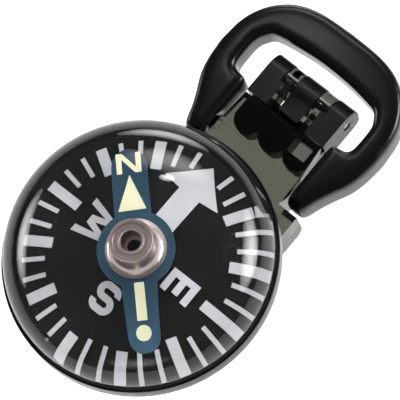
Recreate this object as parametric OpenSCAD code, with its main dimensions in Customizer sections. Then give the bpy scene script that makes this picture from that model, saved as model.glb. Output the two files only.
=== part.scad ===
// Liquid-filled dome compass on a smoky carrier with a strap ring and a fold-down clip.
// Millimetres, +Z up through the dome, +Y from the dial centre towards the strap ring.
// Origin: compass axis, level with the flat underside of the carrier.

/* [Case and lens] */
// outside radius of the black case at its rim
case_radius = 23.2; // [18:0.1:32]
// height of the case rim above the underside
rim_height = 18.9; // [15:0.1:26]
// rise of the clear dome above its seat
dome_rise = 10.4; // [8:0.1:16]
// thickness of the clear dome at its top
dome_wall = 1.8; // [1.2:0.1:3]
// radius of the fluid chamber inside the dome
fluid_radius = 18.8; // [17.5:0.1:19.5]

/* [Dial] */
// radius of the black dial plate
dial_radius = 20.9; // [16:0.1:26]
// radius where every tick ends
tick_outer = 17.9; // [14:0.1:20.5]
// length of a plain ten-degree tick
tick_length = 3.15; // [2:0.05:6]
// height of the printed letters
letter_height = 5.0; // [3:0.1:6]
// height of the print above the plate
print_height = 0.1; // [0.05:0.01:0.3]

/* [Needle and hub] */
// centre to tip of the needle
needle_length = 16.45; // [12:0.05:17]
// radius of the round middle of the needle
needle_disc = 6.4; // [4:0.1:7]
// heading of the needle at rest, turned from the dial arrow
needle_heading = 45.5; // [0:0.5:359]
// gap between the dial and the needle
needle_lift = 3.6; // [2:0.1:4]
// height of the turned hub
hub_height = 6.9; // [3:0.1:7.4]

/* [Carrier and clip] */
// height of the carrier's flat top
carrier_top = 7.2; // [6:0.1:10]
// half width of the carrier's shoulders
shoulder_half = 12.8; // [10:0.1:15]
// half width of the clip lever
lever_half = 8.35; // [6:0.05:10]
// centre of the clip's hinge pin, along Y
lever_axis_y = 39.95; // [36:0.1:42]
// centre of the clip's hinge pin, above the underside
lever_axis_z = 4.2; // [4:0.1:6]

/* [Strap ring] */
// half width of the opening that takes the strap
ring_slot_half = 12.85; // [10:0.05:16]
// thickness of the strap ring
ring_thickness = 6.2; // [3:0.1:7]
// underside of the strap ring
ring_bottom = 2.4; // [1:0.1:5]
// centre of the ring's stub pivots, along Y
ring_axis_y = 26.8; // [26.5:0.1:27]
// radius of the ring's stub pivots
ring_pivot_radius = 1.1; // [0.8:0.05:1.3]

/* [Hidden] */
$fn = 96;
eps = 0.01;
lip_width = 0.45;
lens_radius = case_radius - lip_width - 0.1;
lens_seat = rim_height - 1.4;
lens_base = rim_height - 0.2;
gasket_height = 0.6;
ledge_height = lens_seat - gasket_height;
dial_top = rim_height - 2.95;
dial_thickness = 1.0;
dial_bottom = dial_top - dial_thickness;
dome_fullness = 2.8;
fluid_wall_top = 20.5;
flange_bottom = dial_top + 0.3;
chamber_floor = 12.6;
chamber_radius = 20.2;
needle_bottom = dial_top + needle_lift;
needle_thickness = 0.3;
needle_top = needle_bottom + needle_thickness;
paint_height = 0.08;
hub_flange = 5.0;
hub_top_radius = 3.7;
hub_top = needle_top + hub_height;
jewel_radius = 1.2;
jewel_top = needle_top + 1.5;
pivot_radius = 0.45;
pivot_top = needle_top + 0.8;
screw_x = 8;
block_end = 27.9;
plate_bottom = 4.7;
barrel_radius = carrier_top - lever_axis_z;
lever_pin_radius = 0.8;
running_gap = 0.05;
ring_axis_z = ring_bottom + ring_thickness / 2;
ring_far_y = 52.5;
ring_end_radius = 4.2;
ring_slot_far_y = 45.5;
ring_step_y = 35.8;
ring_arm_inner = 9.35;
eye_x = 3.5;

// ---------- shared shapes ----------

// from the rim up to the axis; a fullness of 2 is an ellipse, more is a squarer shoulder
function dome_arc(radius, rise, base, fullness, steps) =
    [for (i = [0:steps]) [
        radius * pow(cos(90 * i / steps), 2 / fullness),
        base + rise * pow(sin(90 * i / steps), 2 / fullness)
    ]];

function reversed(list) = [for (i = [len(list) - 1:-1:0]) list[i]];

// one smooth curve through four neighbours, t from 0 to 1
function blend_point(a, b, c, d, t) =
    0.5 * (2 * b + (c - a) * t + (2 * a - 5 * b + 4 * c - d) * t * t
    + (3 * b - a - 3 * c + d) * t * t * t);

function smooth_open(p, steps) =
    [for (i = [1:len(p) - 3], s = [0:steps - 1])
        blend_point(p[i - 1], p[i], p[i + 1], p[i + 2], s / steps)];

function mirror_x(list) = [for (p = list) [-p[0], p[1]]];

module rod_x(x0, x1, y, z, radius) {
    translate([x0, y, z])
        rotate([0, 90, 0])
            cylinder(h = x1 - x0, r = radius);
}

// side profile given in Y and Z, spread over x0 to x1
module slab_x(x0, x1) {
    translate([x0, 0, 0])
        rotate([90, 0, 90])
            linear_extrude(height = x1 - x0)
                children();
}

module box_between(low, high) {
    translate(low)
        cube([high[0] - low[0], high[1] - low[1], high[2] - low[2]]);
}

module in_needle_frame() {
    rotate([0, 0, needle_heading])
        children();
}

// ---------- case and lens ----------

module case_cup() {
    color("#101012")
        difference() {
            rotate_extrude()
                polygon([
                    [0, carrier_top], [16.6, carrier_top], [17.4, carrier_top + 0.6],
                    [case_radius - 0.3, rim_height - 3.4], [case_radius, rim_height - 2.8],
                    [case_radius, rim_height - 0.15], [case_radius - 0.15, rim_height],
                    [case_radius - lip_width, rim_height],
                    [case_radius - lip_width, ledge_height],
                    [dial_radius + 0.1, ledge_height], [dial_radius + 0.1, dial_bottom],
                    [chamber_radius, dial_bottom], [chamber_radius, chamber_floor],
                    [0, chamber_floor]
                ]);
            for (side = [-1, 1])
                translate([side * screw_x, 0, carrier_top - 1])
                    cylinder(h = 4, r = 1.0);
            translate([0, -8, carrier_top - 1])
                cylinder(h = 8, r = 1.5);
        }
}

module case_screws() {
    color("#8d8f92")
        for (side = [-1, 1])
            translate([side * screw_x, 0, 0])
                difference() {
                    union() {
                        translate([0, 0, 0.4])
                            cylinder(h = 1.4, r = 1.9);
                        translate([0, 0, 1.8])
                            cylinder(h = 8.2, r = 1.0);
                    }
                    for (turn = [0, 90])
                        rotate([0, 0, turn])
                            translate([-1.3, -0.25, 0.4 - eps])
                                cube([2.6, 0.5, 0.7]);
                }
}

// a thick clear moulding: the fluid chamber is hollowed out of its middle, and its
// flange runs out over the edge of the dial to the gasket
module lens_dome() {
    outer = dome_arc(lens_radius, dome_rise, lens_base, dome_fullness, 40);
    ceiling = dome_arc(fluid_radius, lens_base + dome_rise - dome_wall - fluid_wall_top,
                       fluid_wall_top, 2, 40);
    color([0.86, 0.9, 0.92, 0.35])
        rotate_extrude()
            polygon(concat(
                [[dial_radius - 0.1, flange_bottom], [dial_radius - 0.1, lens_seat],
                 [lens_radius, lens_seat]],
                outer, reversed(ceiling), [[fluid_radius, flange_bottom]]
            ));
}

module lens_gasket() {
    color("#1c1c1c")
        translate([0, 0, ledge_height])
            difference() {
                cylinder(h = gasket_height, r = lens_radius);
                translate([0, 0, -1])
                    cylinder(h = gasket_height + 2, r = lens_radius - 1.4);
            }
}

// ---------- dial ----------

module dial_plate() {
    color("#141416")
        translate([0, 0, dial_bottom])
            difference() {
                cylinder(h = dial_thickness, r = dial_radius);
                translate([0, 0, -1])
                    cylinder(h = dial_thickness + 2, r = 1.4);
            }
}

function tick_inner(step) =
    step == 27 ? tick_outer - 2.5 :
    step == 30 ? tick_outer - 3.0 :
    step % 9 == 0 ? tick_outer - tick_length - 2.1 :
    step % 3 == 0 ? tick_outer - tick_length - 0.9 :
    step == 8 || step == 10 ? tick_outer - 2.4 :
    tick_outer - tick_length;

// the arrow stands where the north tick would be
module dial_ticks() {
    color("#d8d8dc")
        for (step = [0:35])
            if (step != 9)
                rotate([0, 0, 10 * step]) {
                    wide = step % 3 == 0 ? 1.7 : 0.72;
                    translate([tick_inner(step), -wide / 2, dial_top])
                        cube([tick_outer - tick_inner(step), wide, print_height]);
                }
}

module dial_arrow() {
    color("#dcdce0")
        translate([0, 0, dial_top])
            linear_extrude(height = print_height)
                polygon([
                    [0, 17.1], [-5.3, 12.4], [-2.0, 12.1], [-2.0, 3.4],
                    [2.0, 3.4], [2.0, 12.1], [5.3, 12.4]
                ]);
}

// letters are drawn upright, centred, one letter_height tall
module letter_e() {
    width = 0.78 * letter_height;
    stroke = 0.22 * letter_height;
    translate([-width / 2, -letter_height / 2])
        square([stroke, letter_height]);
    for (level = [0, 0.5, 1])
        translate([-width / 2, -letter_height / 2 + level * (letter_height - stroke)])
            square([level == 0.5 ? 0.88 * width : width, stroke]);
}

module letter_w() {
    half = 0.65 * letter_height;
    top = letter_height / 2;
    polygon([
        [-half, top], [-half + 1.2, top], [-1.4, -0.9], [-0.75, top - 1.2],
        [0.75, top - 1.2], [1.4, -0.9], [half - 1.2, top], [half, top],
        [2.0, -top], [0.9, -top], [0, 0.2], [-0.9, -top], [-2.0, -top]
    ]);
}

module letter_s() {
    stroke = 1.1;
    radius = (letter_height + stroke) / 4;
    side = 0.55;
    for (flip = [0, 180])
        rotate(flip) {
            difference() {
                union() {
                    for (x = [-side, side])
                        translate([x, radius - stroke / 2])
                            circle(r = radius);
                    translate([-side, -stroke / 2])
                        square([2 * side, 2 * radius]);
                }
                for (x = [-side, side])
                    translate([x, radius - stroke / 2])
                        circle(r = radius - stroke);
                translate([-side, stroke / 2])
                    square([2 * side, 2 * (radius - stroke)]);
                translate([side, -stroke])
                    square([radius + 1, radius + stroke / 2]);
            }
        }
}

module dial_letters() {
    color("#dcdce0")
        translate([0, 0, dial_top])
            linear_extrude(height = print_height) {
                translate([8.5, -0.1])
                    rotate(-90)
                        letter_e();
                translate([-8.8, -0.4])
                    rotate(90)
                        letter_w();
                translate([0.4, -8.7])
                    rotate(180)
                        letter_s();
            }
}

// ---------- sealed pieces under the dial ----------

module diaphragm() {
    color("#2a2522")
        translate([0, -8, 0])
            rotate_extrude()
                polygon([
                    [1.7, chamber_floor], [5.0, chamber_floor],
                    [5.0, chamber_floor + 0.5], [4.2, chamber_floor + 1.3],
                    [3.4, chamber_floor + 0.5], [1.7, chamber_floor + 0.5]
                ]);
}

module filler_plug() {
    color("#b08d4a")
        translate([0, -8, 0]) {
            translate([0, 0, carrier_top])
                cylinder(h = chamber_floor - carrier_top, r = 1.5);
            translate([0, 0, chamber_floor])
                cylinder(h = 0.8, r = 1.65);
        }
}

module pivot_boss() {
    color("#b79a56")
        rotate_extrude()
            polygon([
                [pivot_radius, dial_bottom - 0.6], [2.0, dial_bottom - 0.6], [2.0, dial_bottom],
                [1.4, dial_bottom], [1.4, dial_top + 0.6], [0.9, dial_top + 1.2],
                [pivot_radius, dial_top + 1.2]
            ]);
}

module pivot_pin() {
    color("#9a9ca0")
        rotate_extrude()
            polygon([
                [0, dial_bottom - 0.6], [pivot_radius, dial_bottom - 0.6],
                [pivot_radius, pivot_top - 0.6], [0.12, pivot_top], [0, pivot_top]
            ]);
}

// ---------- needle and hub ----------

// a tapered arm with a rounded end, pointing along +Y
module needle_arm(reach, root_half, tip_half) {
    polygon([
        [-root_half, 0], [root_half, 0],
        [tip_half, reach - tip_half], [-tip_half, reach - tip_half]
    ]);
    translate([0, reach - tip_half])
        circle(r = tip_half);
}

module needle_outline() {
    circle(r = needle_disc);
    needle_arm(needle_length, 3.15, 2.85);
    rotate(180)
        needle_arm(needle_length, 3.15, 2.5);
}

module needle() {
    color("#3c6486")
        in_needle_frame()
            translate([0, 0, needle_bottom])
                difference() {
                    linear_extrude(height = needle_thickness)
                        needle_outline();
                    translate([0, 0, -1])
                        cylinder(h = 2, r = 1.5);
                }
}

module needle_paint_north() {
    color("#f2f1c6")
        in_needle_frame()
            translate([0, 0, needle_top])
                linear_extrude(height = paint_height) {
                    polygon([[-2.3, 6.5], [2.3, 6.5], [0, 12.3]]);
                    for (side = [-1, 1])
                        translate([side * 1.55 - 0.43, 12.6])
                            square([0.86, 3.2]);
                    polygon([[-1.98, 15.8], [-1.0, 15.8], [1.98, 12.6], [1.0, 12.6]]);
                }
}

module needle_paint_south() {
    color("#f2f1c6")
        in_needle_frame()
            translate([0, 0, needle_top])
                linear_extrude(height = paint_height) {
                    translate([-0.8, -11.6])
                        square([1.6, 6.0]);
                    translate([0, -13.5])
                        circle(r = 1.2);
                }
}

module hub_body() {
    waist = 3.2;
    flare = 2.6;
    curve = [for (i = [0:12])
        [hub_flange - 0.1 - (hub_flange - 0.1 - waist) * sin(90 * i / 12),
         needle_top + 0.5 + flare * (1 - cos(90 * i / 12))]];
    color("#c9bdb6")
        rotate_extrude()
            polygon(concat(
                [[jewel_radius, needle_top], [hub_flange, needle_top],
                 [hub_flange, needle_top + 0.4]],
                curve,
                [[waist, hub_top - 0.9], [hub_top_radius, hub_top - 0.6],
                 [hub_top_radius, hub_top - 0.12], [hub_top_radius - 0.15, hub_top],
                 [3.1, hub_top], [2.95, hub_top - 0.4], [2.25, hub_top - 0.4],
                 [2.25, jewel_top], [jewel_radius, jewel_top]]
            ));
}

module hub_eyelet() {
    color("#d2c4bb")
        rotate_extrude()
            polygon([
                [1.75, jewel_top], [2.25, jewel_top], [2.25, hub_top - 0.15],
                [2.1, hub_top], [1.9, hub_top], [1.75, hub_top - 0.15]
            ]);
}

module hub_jewel() {
    color("#241a18")
        rotate_extrude()
            polygon([
                [pivot_radius + running_gap, needle_top],
                [jewel_radius, needle_top], [jewel_radius, jewel_top], [0, jewel_top],
                [0, pivot_top + 0.03], [0.2, pivot_top + 0.03],
                [pivot_radius + running_gap, pivot_top - 0.5]
            ]);
}

// ---------- carrier ----------

module shoulder_profile() {
    difference() {
        square([22.3 - 10, carrier_top]);
        difference() {
            translate([22.3 - 10 - 1.6, -eps])
                square([2, 1.6]);
            translate([22.3 - 10 - 1.6, 1.6])
                circle(r = 1.6);
        }
    }
}

// the plate's end leans back underneath, clear of the lever's swinging knuckles
module plate_profile() {
    polygon([
        [27, plate_bottom], [33.2, plate_bottom], [33.95, carrier_top], [27, carrier_top]
    ]);
}

// one of the two hinge eyes at the plate's end, on a narrow neck
module prong(x_middle) {
    neck = 1.1;
    eye = 2.4;
    box_between([x_middle - neck / 2, 32.5, plate_bottom],
                [x_middle + neck / 2, lever_axis_y, carrier_top]);
    rod_x(x_middle - eye / 2, x_middle + eye / 2, lever_axis_y, lever_axis_z,
          barrel_radius - 0.1);
}

module carrier() {
    color([0.3, 0.3, 0.26, 0.6])
        difference() {
            union() {
                cylinder(h = carrier_top, r = 15.5);
                translate([0, 10, 0])
                    slab_x(-shoulder_half, shoulder_half)
                        shoulder_profile();
                linear_extrude(height = carrier_top)
                    polygon([[-8.95, 20], [8.95, 20], [8.7, block_end], [-8.7, block_end]]);
                intersection() {
                    slab_x(-10, 10)
                        plate_profile();
                    linear_extrude(height = carrier_top)
                        polygon([[-8.75, 26.5], [8.75, 26.5], [8.2, 34.5], [-8.2, 34.5]]);
                }
                for (side = [-1, 1]) {
                    prong(side * eye_x);
                    rod_x(side > 0 ? 8 : -12.1, side > 0 ? 12.1 : -8,
                          ring_axis_y, ring_axis_z, ring_pivot_radius);
                }
            }
            for (side = [-1, 1]) {
                translate([side * screw_x, 0, -1])
                    cylinder(h = 2.8, r = 2.1);
                translate([side * screw_x, 0, -1])
                    cylinder(h = 20, r = 1.1);
            }
            rod_x(-9, 9, lever_axis_y, lever_axis_z, lever_pin_radius + running_gap);
        }
}

// ---------- strap ring ----------

module ring_outer() {
    right = smooth_open([
        [12.3, 20.5], [12.9, 23.0], [13.6, 25.8], [14.95, 28.9], [16.45, 31.9],
        [17.3, 36.0], [17.35, 40.3], [16.65, 44.2], [14.75, 47.65], [11.9, 50.3],
        [8.5, 51.8], [4.45, 52.38], [0, ring_far_y], [-4.45, 52.38]
    ], 5);
    polygon(concat(right, [[0, ring_far_y]], mirror_x(reversed(right))));
}

module ring_opening() {
    far = [for (i = [0:12]) let (x = -11.4 + 22.8 * i / 12)
        [x, ring_slot_far_y - 1.2 * pow(x / 11.4, 2)]];
    polygon(concat([[-ring_slot_half, 41.6]], far, [[ring_slot_half, 41.6],
        [ring_slot_half, ring_step_y + 0.8], [ring_slot_half - 0.8, ring_step_y],
        [-ring_slot_half + 0.8, ring_step_y], [-ring_slot_half, ring_step_y + 0.8]]));
    for (side = [-1, 1])
        translate([side * (ring_slot_half - 1.5), 41.6])
            circle(r = 1.5);
    translate([-ring_arm_inner, 20])
        square([2 * ring_arm_inner, 17]);
}

module strap_ring() {
    color("#0b0b0d")
        difference() {
            translate([0, 0, ring_bottom])
                linear_extrude(height = ring_thickness)
                    difference() {
                        ring_outer();
                        ring_opening();
                    }
            slab_x(-20, 20)
                difference() {
                    translate([ring_axis_y - 7, ring_bottom - 1])
                        square([7, ring_thickness + 2]);
                    translate([ring_axis_y, ring_axis_z])
                        circle(r = ring_end_radius);
                }
            for (side = [-1, 1])
                rod_x(side > 0 ? 9 : -12.4, side > 0 ? 12.4 : -9,
                      ring_axis_y, ring_axis_z, ring_pivot_radius + running_gap);
        }
}

// ---------- clip lever ----------

module knuckle_profile(near_y, top) {
    translate([near_y, 0.8])
        square([lever_axis_y - near_y, top - 0.8]);
    translate([lever_axis_y, lever_axis_z])
        circle(r = barrel_radius);
    translate([lever_axis_y - 3, 0.8])
        square([4.2, 2.4]);
    translate([lever_axis_y + 1.2, 2.4])
        circle(r = 1.6);
}

module jaw_outline() {
    lobe = 2.65;
    difference() {
        union() {
            translate([-8.0, 30.1])
                square([16.0, 6]);
            for (x = [-5.35, 0, 5.35])
                translate([x, 30.9])
                    circle(r = lobe);
        }
        translate([3.1, 30.6])
            square([3.7, 2.9]);
    }
}

module clip_lever() {
    color("#0e0e10")
        difference() {
            union() {
                for (side = [-1, 1])
                    slab_x(side > 0 ? 4.15 : -lever_half, side > 0 ? lever_half : -4.15)
                        knuckle_profile(34.35, carrier_top);
                slab_x(-2.1, 2.1)
                    knuckle_profile(35.0, carrier_top - 0.5);
                translate([0, 0, 0.8])
                    linear_extrude(height = 3.4)
                        jaw_outline();
                box_between([-lever_half, 34.35, 0.8], [lever_half, 36.1, 4.2]);
            }
            rod_x(-9, 9, lever_axis_y, lever_axis_z, lever_pin_radius);
            for (side = [-1, 1])
                rod_x(side > 0 ? 2.1 : -4.95, side > 0 ? 4.95 : -2.1,
                      lever_axis_y, lever_axis_z, barrel_radius + 0.15);
        }
}

module lever_pin() {
    color("#97999d")
        rod_x(-lever_half + 0.2, lever_half - 0.2, lever_axis_y, lever_axis_z,
              lever_pin_radius);
}

// ---------- assembly ----------

case_cup();
case_screws();
lens_dome();
lens_gasket();
dial_plate();
dial_ticks();
dial_arrow();
dial_letters();
diaphragm();
filler_plug();
pivot_boss();
pivot_pin();
needle();
needle_paint_north();
needle_paint_south();
hub_body();
hub_eyelet();
hub_jewel();
carrier();
strap_ring();
clip_lever();
lever_pin();
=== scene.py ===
import math

import bpy
from mathutils import Matrix, Vector


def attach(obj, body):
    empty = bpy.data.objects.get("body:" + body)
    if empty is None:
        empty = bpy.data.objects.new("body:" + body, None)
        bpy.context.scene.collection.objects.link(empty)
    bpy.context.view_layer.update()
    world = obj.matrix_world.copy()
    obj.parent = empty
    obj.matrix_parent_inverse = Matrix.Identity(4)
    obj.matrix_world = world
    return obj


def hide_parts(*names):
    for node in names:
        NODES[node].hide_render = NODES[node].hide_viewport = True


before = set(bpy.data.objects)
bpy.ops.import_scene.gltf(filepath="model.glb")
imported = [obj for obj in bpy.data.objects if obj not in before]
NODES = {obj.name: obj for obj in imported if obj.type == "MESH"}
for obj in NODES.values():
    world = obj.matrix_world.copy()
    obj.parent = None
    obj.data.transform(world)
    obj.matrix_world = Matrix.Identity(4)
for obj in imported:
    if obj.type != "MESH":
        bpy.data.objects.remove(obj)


def write_size():
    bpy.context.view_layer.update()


write_size()

# Sizes of the object are in millimetres. Blender's own units are metres.
MM = 0.001

# ---------- camera ----------

# TILT is away from straight down, TURN is about the compass axis, LEAN is within the picture.
# AIM_RIGHT and AIM_UP move the middle of the picture away from the middle of the case rim.
TILT = math.radians(19.5)
TURN = math.radians(21.0)
LEAN = math.radians(60.0)
LENS_MM = 500.0
SENSOR_MM = 36.0
FRAME_WIDTH = 65.47
RIM_CENTRE = Vector((0.0, 0.0, 18.7))
AIM_RIGHT = 9.78
AIM_UP = 9.12
FAR_CLIP_M = 20.0


def camera_frame():
    """Right, up and backward directions of the camera in the part's own frame."""
    back = Vector((
        math.cos(TURN) * math.sin(TILT),
        -math.sin(TURN) * math.sin(TILT),
        math.cos(TILT),
    ))
    near = Vector((
        math.cos(TURN) * math.cos(TILT),
        -math.sin(TURN) * math.cos(TILT),
        -math.sin(TILT),
    ))
    side = Vector((-math.sin(TURN), -math.cos(TURN), 0.0))
    right = near * math.cos(LEAN) - side * math.sin(LEAN)
    down = near * math.sin(LEAN) + side * math.cos(LEAN)
    return right, -down, back


def add_camera():
    right, up, back = camera_frame()
    distance = FRAME_WIDTH * LENS_MM / SENSOR_MM
    aim = RIM_CENTRE + right * AIM_RIGHT + up * AIM_UP
    turn = Matrix((right, up, back)).transposed().to_4x4()
    data = bpy.data.cameras.new("camera")
    data.lens = LENS_MM
    data.sensor_width = SENSOR_MM
    data.clip_end = FAR_CLIP_M
    camera = bpy.data.objects.new("camera", data)
    camera.matrix_world = Matrix.Translation((aim + back * distance) * MM) @ turn
    bpy.context.collection.objects.link(camera)
    bpy.context.scene.camera = camera


add_camera()

# ---------- materials ----------

# noise scales, from coarse uneven polish to fine surface grain
CLEAR_POLISH = 400.0
MOULD_POLISH = 900.0
MOULD_GRAIN = 2500.0
METAL_POLISH = 1500.0
METAL_GRAIN = 3000.0
PRINT_POLISH = 3000.0
PRINT_GRAIN = 6000.0
BUMP_DEPTH_M = 0.00001


def new_material(name, **sockets):
    material = bpy.data.materials.new(name)
    material.use_nodes = True
    shader = material.node_tree.nodes["Principled BSDF"]
    for key, value in sockets.items():
        shader.inputs[key.replace("_", " ")].default_value = value
    return material, material.node_tree, shader


def noise(tree, scale, detail=4.0):
    place = tree.nodes.new("ShaderNodeTexCoord")
    texture = tree.nodes.new("ShaderNodeTexNoise")
    texture.inputs["Scale"].default_value = scale
    texture.inputs["Detail"].default_value = detail
    tree.links.new(place.outputs["Object"], texture.inputs["Vector"])
    return texture.outputs["Fac"]


def vary_roughness(tree, shader, scale, low, high):
    spread = tree.nodes.new("ShaderNodeMapRange")
    spread.inputs["To Min"].default_value = low
    spread.inputs["To Max"].default_value = high
    tree.links.new(noise(tree, scale), spread.inputs["Value"])
    tree.links.new(spread.outputs["Result"], shader.inputs["Roughness"])


def add_bump(tree, shader, height, strength):
    bump = tree.nodes.new("ShaderNodeBump")
    bump.inputs["Strength"].default_value = strength
    bump.inputs["Distance"].default_value = BUMP_DEPTH_M
    tree.links.new(height, bump.inputs["Height"])
    tree.links.new(bump.outputs["Normal"], shader.inputs["Normal"])


def moulded(name, colour, low, high, grain, shine=0.5):
    """Moulded plastic: fine grain, and polish that runs from low to high roughness."""
    material, tree, shader = new_material(
        name, Base_Color=(*colour, 1.0), IOR=1.5, Specular_IOR_Level=shine)
    vary_roughness(tree, shader, MOULD_POLISH, low, high)
    add_bump(tree, shader, noise(tree, MOULD_GRAIN, 6.0), grain)
    return material


def lets_light_in(tree, shader, tint):
    """Light reaches what is behind the clear piece: shadow rays pass straight through."""
    output = tree.nodes["Material Output"]
    path = tree.nodes.new("ShaderNodeLightPath")
    clear = tree.nodes.new("ShaderNodeBsdfTransparent")
    clear.inputs["Color"].default_value = (*tint, 1.0)
    mix = tree.nodes.new("ShaderNodeMixShader")
    tree.links.new(path.outputs["Is Shadow Ray"], mix.inputs["Fac"])
    tree.links.new(shader.outputs["BSDF"], mix.inputs[1])
    tree.links.new(clear.outputs["BSDF"], mix.inputs[2])
    tree.links.new(mix.outputs["Shader"], output.inputs["Surface"])


def clear_plastic(name, colour, ior, low, high, tint):
    """Clear moulding or fluid; the tint is what it does to the light that passes through it."""
    material, tree, shader = new_material(
        name, Base_Color=(*colour, 1.0), IOR=ior, Transmission_Weight=1.0)
    vary_roughness(tree, shader, CLEAR_POLISH, low, high)
    lets_light_in(tree, shader, tint)
    return material


def metal(name, colour, low, high):
    material, tree, shader = new_material(name, Base_Color=(*colour, 1.0), Metallic=1.0)
    vary_roughness(tree, shader, METAL_POLISH, low, high)
    add_bump(tree, shader, noise(tree, METAL_GRAIN, 5.0), 0.1)
    return material


def printed(name, colour):
    """Ink or paint: a dull, slightly rough film."""
    material, tree, shader = new_material(name, Base_Color=(*colour, 1.0))
    vary_roughness(tree, shader, PRINT_POLISH, 0.35, 0.6)
    add_bump(tree, shader, noise(tree, PRINT_GRAIN, 6.0), 0.2)
    return material


CASE_BLACK = moulded("case_black", (0.004, 0.004, 0.005), 0.15, 0.25, 0.1, 0.12)
RING_BLACK = moulded("ring_black", (0.004, 0.004, 0.005), 0.2, 0.26, 0.1, 0.3)
LEVER_BLACK = moulded("lever_black", (0.006, 0.006, 0.007), 0.25, 0.35, 0.2, 0.25)
DIAL_BLACK = moulded("dial_black", (0.003, 0.003, 0.0035), 0.5, 0.65, 0.1, 0.2)
RUBBER = moulded("rubber_black", (0.012, 0.012, 0.012), 0.6, 0.8, 0.5)
SILVER = printed("silver_print", (0.52, 0.52, 0.55))
LUMINOUS = printed("luminous_paint", (0.66, 0.66, 0.45))
STEEL = metal("steel", (0.55, 0.56, 0.58), 0.2, 0.35)
BRASS = metal("brass", (0.6, 0.45, 0.2), 0.2, 0.35)
BLUED = metal("blued_steel", (0.072, 0.15, 0.225), 0.3, 0.45)
NICKEL = metal("nickel_hub", (0.62, 0.52, 0.5), 0.25, 0.35)
JEWEL = moulded("jewel", (0.012, 0.006, 0.005), 0.1, 0.2, 0.15)
# the dome's index is relative to the fluid that it is drawn inside
FLUID = clear_plastic("clear_fluid", (1.0, 1.0, 1.0), 1.44, 0.0, 0.004, (0.97, 0.97, 0.97))
DOME = clear_plastic("clear_dome", (1.0, 1.0, 1.0), 1.04, 0.0, 0.004, (0.99, 0.99, 0.99))
SMOKE = clear_plastic("smoky_carrier", (0.085, 0.085, 0.068), 1.5, 0.03, 0.08, (0.3, 0.3, 0.26))

FINISH = {
    "case_cup": CASE_BLACK, "case_screws": STEEL, "lens_gasket": RUBBER,
    "dial_plate": DIAL_BLACK, "dial_ticks": SILVER, "dial_arrow": SILVER,
    "dial_letters": SILVER, "diaphragm": RUBBER, "filler_plug": BRASS,
    "pivot_boss": BRASS, "pivot_pin": STEEL, "needle": BLUED,
    "needle_paint_north": LUMINOUS, "needle_paint_south": LUMINOUS,
    "hub_body": NICKEL, "hub_eyelet": NICKEL, "hub_jewel": JEWEL,
    "carrier": SMOKE, "strap_ring": RING_BLACK,
    "clip_lever": LEVER_BLACK, "lever_pin": STEEL,
}


def dress(obj, material):
    obj.data.materials.clear()
    obj.data.materials.append(material)


for node_name, finish in FINISH.items():
    dress(NODES[node_name], finish)


# ---------- rounded edges ----------

WELD_MM = 0.002
SHARP_ANGLE = math.radians(40.0)


def round_edges(obj, width, segments):
    """Bevel every sharp edge of a moulding."""
    weld = obj.modifiers.new("weld", "WELD")
    weld.merge_threshold = WELD_MM * MM
    bevel = obj.modifiers.new("bevel", "BEVEL")
    bevel.width = width * MM
    bevel.segments = segments
    bevel.limit_method = "ANGLE"
    bevel.angle_limit = SHARP_ANGLE
    bevel.harden_normals = False
    smooth = obj.modifiers.new("normals", "WEIGHTED_NORMAL")
    smooth.keep_sharp = False


def soften(obj, grain, repeats):
    """Rebuild a moulding in small even faces and relax them, so every edge rounds off."""
    remesh = obj.modifiers.new("remesh", "REMESH")
    remesh.mode = "VOXEL"
    remesh.voxel_size = grain * MM
    remesh.use_smooth_shade = True
    relax = obj.modifiers.new("relax", "SMOOTH")
    relax.factor = 0.5
    relax.iterations = repeats


soften(NODES["strap_ring"], 0.3, 75)
round_edges(NODES["clip_lever"], 0.3, 4)
round_edges(NODES["carrier"], 0.25, 4)
round_edges(NODES["case_cup"], 0.08, 2)

# ---------- dome ----------

LENS_RADIUS = 22.65
LENS_BASE = 18.7
DOME_RISE = 10.4
DOME_FULLNESS = 2.8
FLUID_RADIUS = 18.8
FLUID_WALL_TOP = 20.5
CEILING_TOP = 27.3
# both clear pieces reach a little way into the dial, so no air shows between them and it
FLUID_FLOOR = 15.5
SHELL_FLOOR = 15.6
# the step under the flange: the edge of its foot, its underside and its bevelled corner
FOOT_RADIUS = 20.9
FLANGE_UNDER = 17.0
CORNER_IN = 0.3
CORNER_UP = 0.25
# the shell lies this far inside the fluid's outer skin, and the fluid goes this far past its foot
SKIN = 0.04
FLUID_MARGIN = 0.05
# the fluid's upright edge ends this far below the start of the dome's curve
EDGE_DROP = 0.1


def revolve(name, profile, steps=128):
    """A solid of revolution about Z; the profile is a closed loop of (radius, height) points."""
    verts = []
    faces = []
    rings = []
    for radius, height in profile:
        if radius < 1e-6:
            rings.append([len(verts)])
            verts.append((0.0, 0.0, height * MM))
            continue
        rings.append(list(range(len(verts), len(verts) + steps)))
        for i in range(steps):
            a = 2.0 * math.pi * i / steps
            verts.append((radius * math.cos(a) * MM, radius * math.sin(a) * MM, height * MM))
    for low, high in zip(rings, rings[1:] + rings[:1]):
        if len(low) == 1 and len(high) == 1:
            continue
        for i in range(steps):
            j = (i + 1) % steps
            if len(low) == 1:
                faces.append((low[0], high[j], high[i]))
            elif len(high) == 1:
                faces.append((low[i], low[j], high[0]))
            else:
                faces.append((low[i], low[j], high[j], high[i]))
    mesh = bpy.data.meshes.new(name)
    mesh.from_pydata(verts, [], faces)
    mesh.validate()
    obj = bpy.data.objects.new(name, mesh)
    bpy.context.collection.objects.link(obj)
    return obj


def dome_arc(radius, rise, base, fullness, steps=60):
    """Points from the rim up to the axis; a fullness of 2 is an ellipse."""
    points = []
    for i in range(steps):
        a = math.radians(90.0 * i / steps)
        points.append((
            radius * math.cos(a) ** (2.0 / fullness),
            base + rise * math.sin(a) ** (2.0 / fullness),
        ))
    points.append((0.0, base + rise))
    return points


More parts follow.
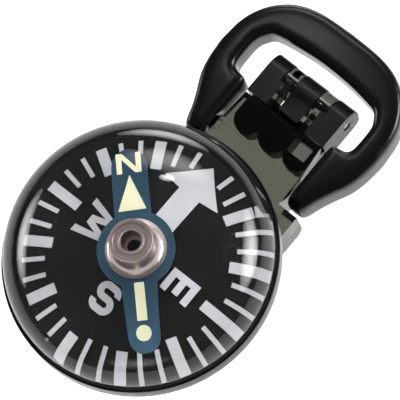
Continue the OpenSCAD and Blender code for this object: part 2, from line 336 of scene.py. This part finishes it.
def add_clear(name, profile, material):
    """A smooth clear piece that belongs to the fixed body."""
    piece = revolve(name, profile)
    piece.data.polygons.foreach_set("use_smooth", [True] * len(piece.data.polygons))
    dress(piece, material)
    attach(piece, "base")
    return piece


def add_dome():
    """The fluid is drawn as a full dome, with the thick clear moulding as a denser shell in it."""
    outer = dome_arc(LENS_RADIUS, DOME_RISE, LENS_BASE, DOME_FULLNESS)
    fluid_foot = FOOT_RADIUS + FLUID_MARGIN
    fluid_under = FLANGE_UNDER - FLUID_MARGIN
    fluid = add_clear("fluid", [
        (0.0, FLUID_FLOOR),
        (fluid_foot, FLUID_FLOOR),
        (fluid_foot, fluid_under),
        (LENS_RADIUS - CORNER_IN, fluid_under),
        (LENS_RADIUS, fluid_under + CORNER_UP),
        (LENS_RADIUS, LENS_BASE - EDGE_DROP),
    ] + outer, FLUID)
    shell_radius = LENS_RADIUS - SKIN
    inside = dome_arc(shell_radius, DOME_RISE - SKIN, LENS_BASE, DOME_FULLNESS)
    ceiling = dome_arc(FLUID_RADIUS, CEILING_TOP - FLUID_WALL_TOP, FLUID_WALL_TOP, 2.0)
    ceiling.reverse()
    shell = add_clear("dome", inside + ceiling + [
        (FLUID_RADIUS, SHELL_FLOOR),
        (FOOT_RADIUS, SHELL_FLOOR),
        (FOOT_RADIUS, FLANGE_UNDER),
        (shell_radius - CORNER_IN, FLANGE_UNDER),
        (shell_radius, FLANGE_UNDER + CORNER_UP),
    ], DOME)
    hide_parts("lens_dome")


add_dome()

# ---------- studio ----------

# Lengths and places in this section are in metres.
FLOOR_HALF = 6.0
FLOOR_LEVEL = -0.06
AIM_POINT = Vector((0.0, 0.01, 0.015))
RING_CORNER = Vector((-0.0065, 0.046, 0.0086))
# each lamp is a stack of ever smaller ellipses, which fades it out towards its edge
SOFT_LAYERS = (1.0, 0.86, 0.72, 0.58, 0.44, 0.3)
LAYER_STEP = 0.001


def add_floor():
    mesh = bpy.data.meshes.new("floor")
    corners = [
        (x * FLOOR_HALF, y * FLOOR_HALF, FLOOR_LEVEL)
        for x, y in ((-1, -1), (1, -1), (1, 1), (-1, 1))
    ]
    mesh.from_pydata(corners, [], [(0, 1, 2, 3)])
    floor = bpy.data.objects.new("floor", mesh)
    bpy.context.collection.objects.link(floor)
    material, _, _ = new_material(
        "floor", Base_Color=(0.5, 0.5, 0.5, 1.0), Roughness=1.0,
        Emission_Color=(1.0, 1.0, 1.0, 1.0), Emission_Strength=0.95)
    dress(floor, material)


def add_softbox(name, aim, toward, distance, width, height, radiance):
    """A lamp that faces a point from the direction given, brightest in its middle."""
    away = Vector(toward).normalized()
    for layer, share in enumerate(SOFT_LAYERS):
        data = bpy.data.lights.new(f"{name}_{layer}", "AREA")
        data.shape = "ELLIPSE"
        data.size = width * share
        data.size_y = height * share
        data.energy = radiance / len(SOFT_LAYERS) * data.size * data.size_y * math.pi
        lamp = bpy.data.objects.new(f"{name}_{layer}", data)
        place = Matrix.Translation(aim + away * (distance - LAYER_STEP * layer))
        lamp.matrix_world = place @ away.to_track_quat("Z", "Y").to_matrix().to_4x4()
        bpy.context.collection.objects.link(lamp)


def set_world(level):
    world = bpy.data.worlds.new("studio")
    world.use_nodes = True
    back = world.node_tree.nodes["Background"]
    back.inputs["Color"].default_value = (level, level, level, 1.0)
    back.inputs["Strength"].default_value = 1.0
    bpy.context.scene.world = world


add_floor()
set_world(0.07)
add_softbox("right", AIM_POINT, (0.57, 0.66, 0.45), 0.5, 0.42, 0.3, 16.0)
add_softbox("left", AIM_POINT, (-0.86, -0.33, 0.38), 0.5, 0.36, 0.16, 12.0)
add_softbox("far", AIM_POINT, (-0.6, 0.78, 0.2), 0.6, 0.4, 0.2, 9.0)
add_softbox("near", AIM_POINT, (0.5, -0.75, 0.4), 0.6, 0.4, 0.24, 2.0)
add_softbox("over", AIM_POINT, (-0.45, 0.62, 0.8), 0.6, 0.34, 0.2, 5.0)
add_softbox("sheen", RING_CORNER, (-0.315, 0.153, 0.937), 0.15, 0.016, 0.01, 22.0)
bpy.context.scene.view_settings.view_transform = "Standard"

write_size()
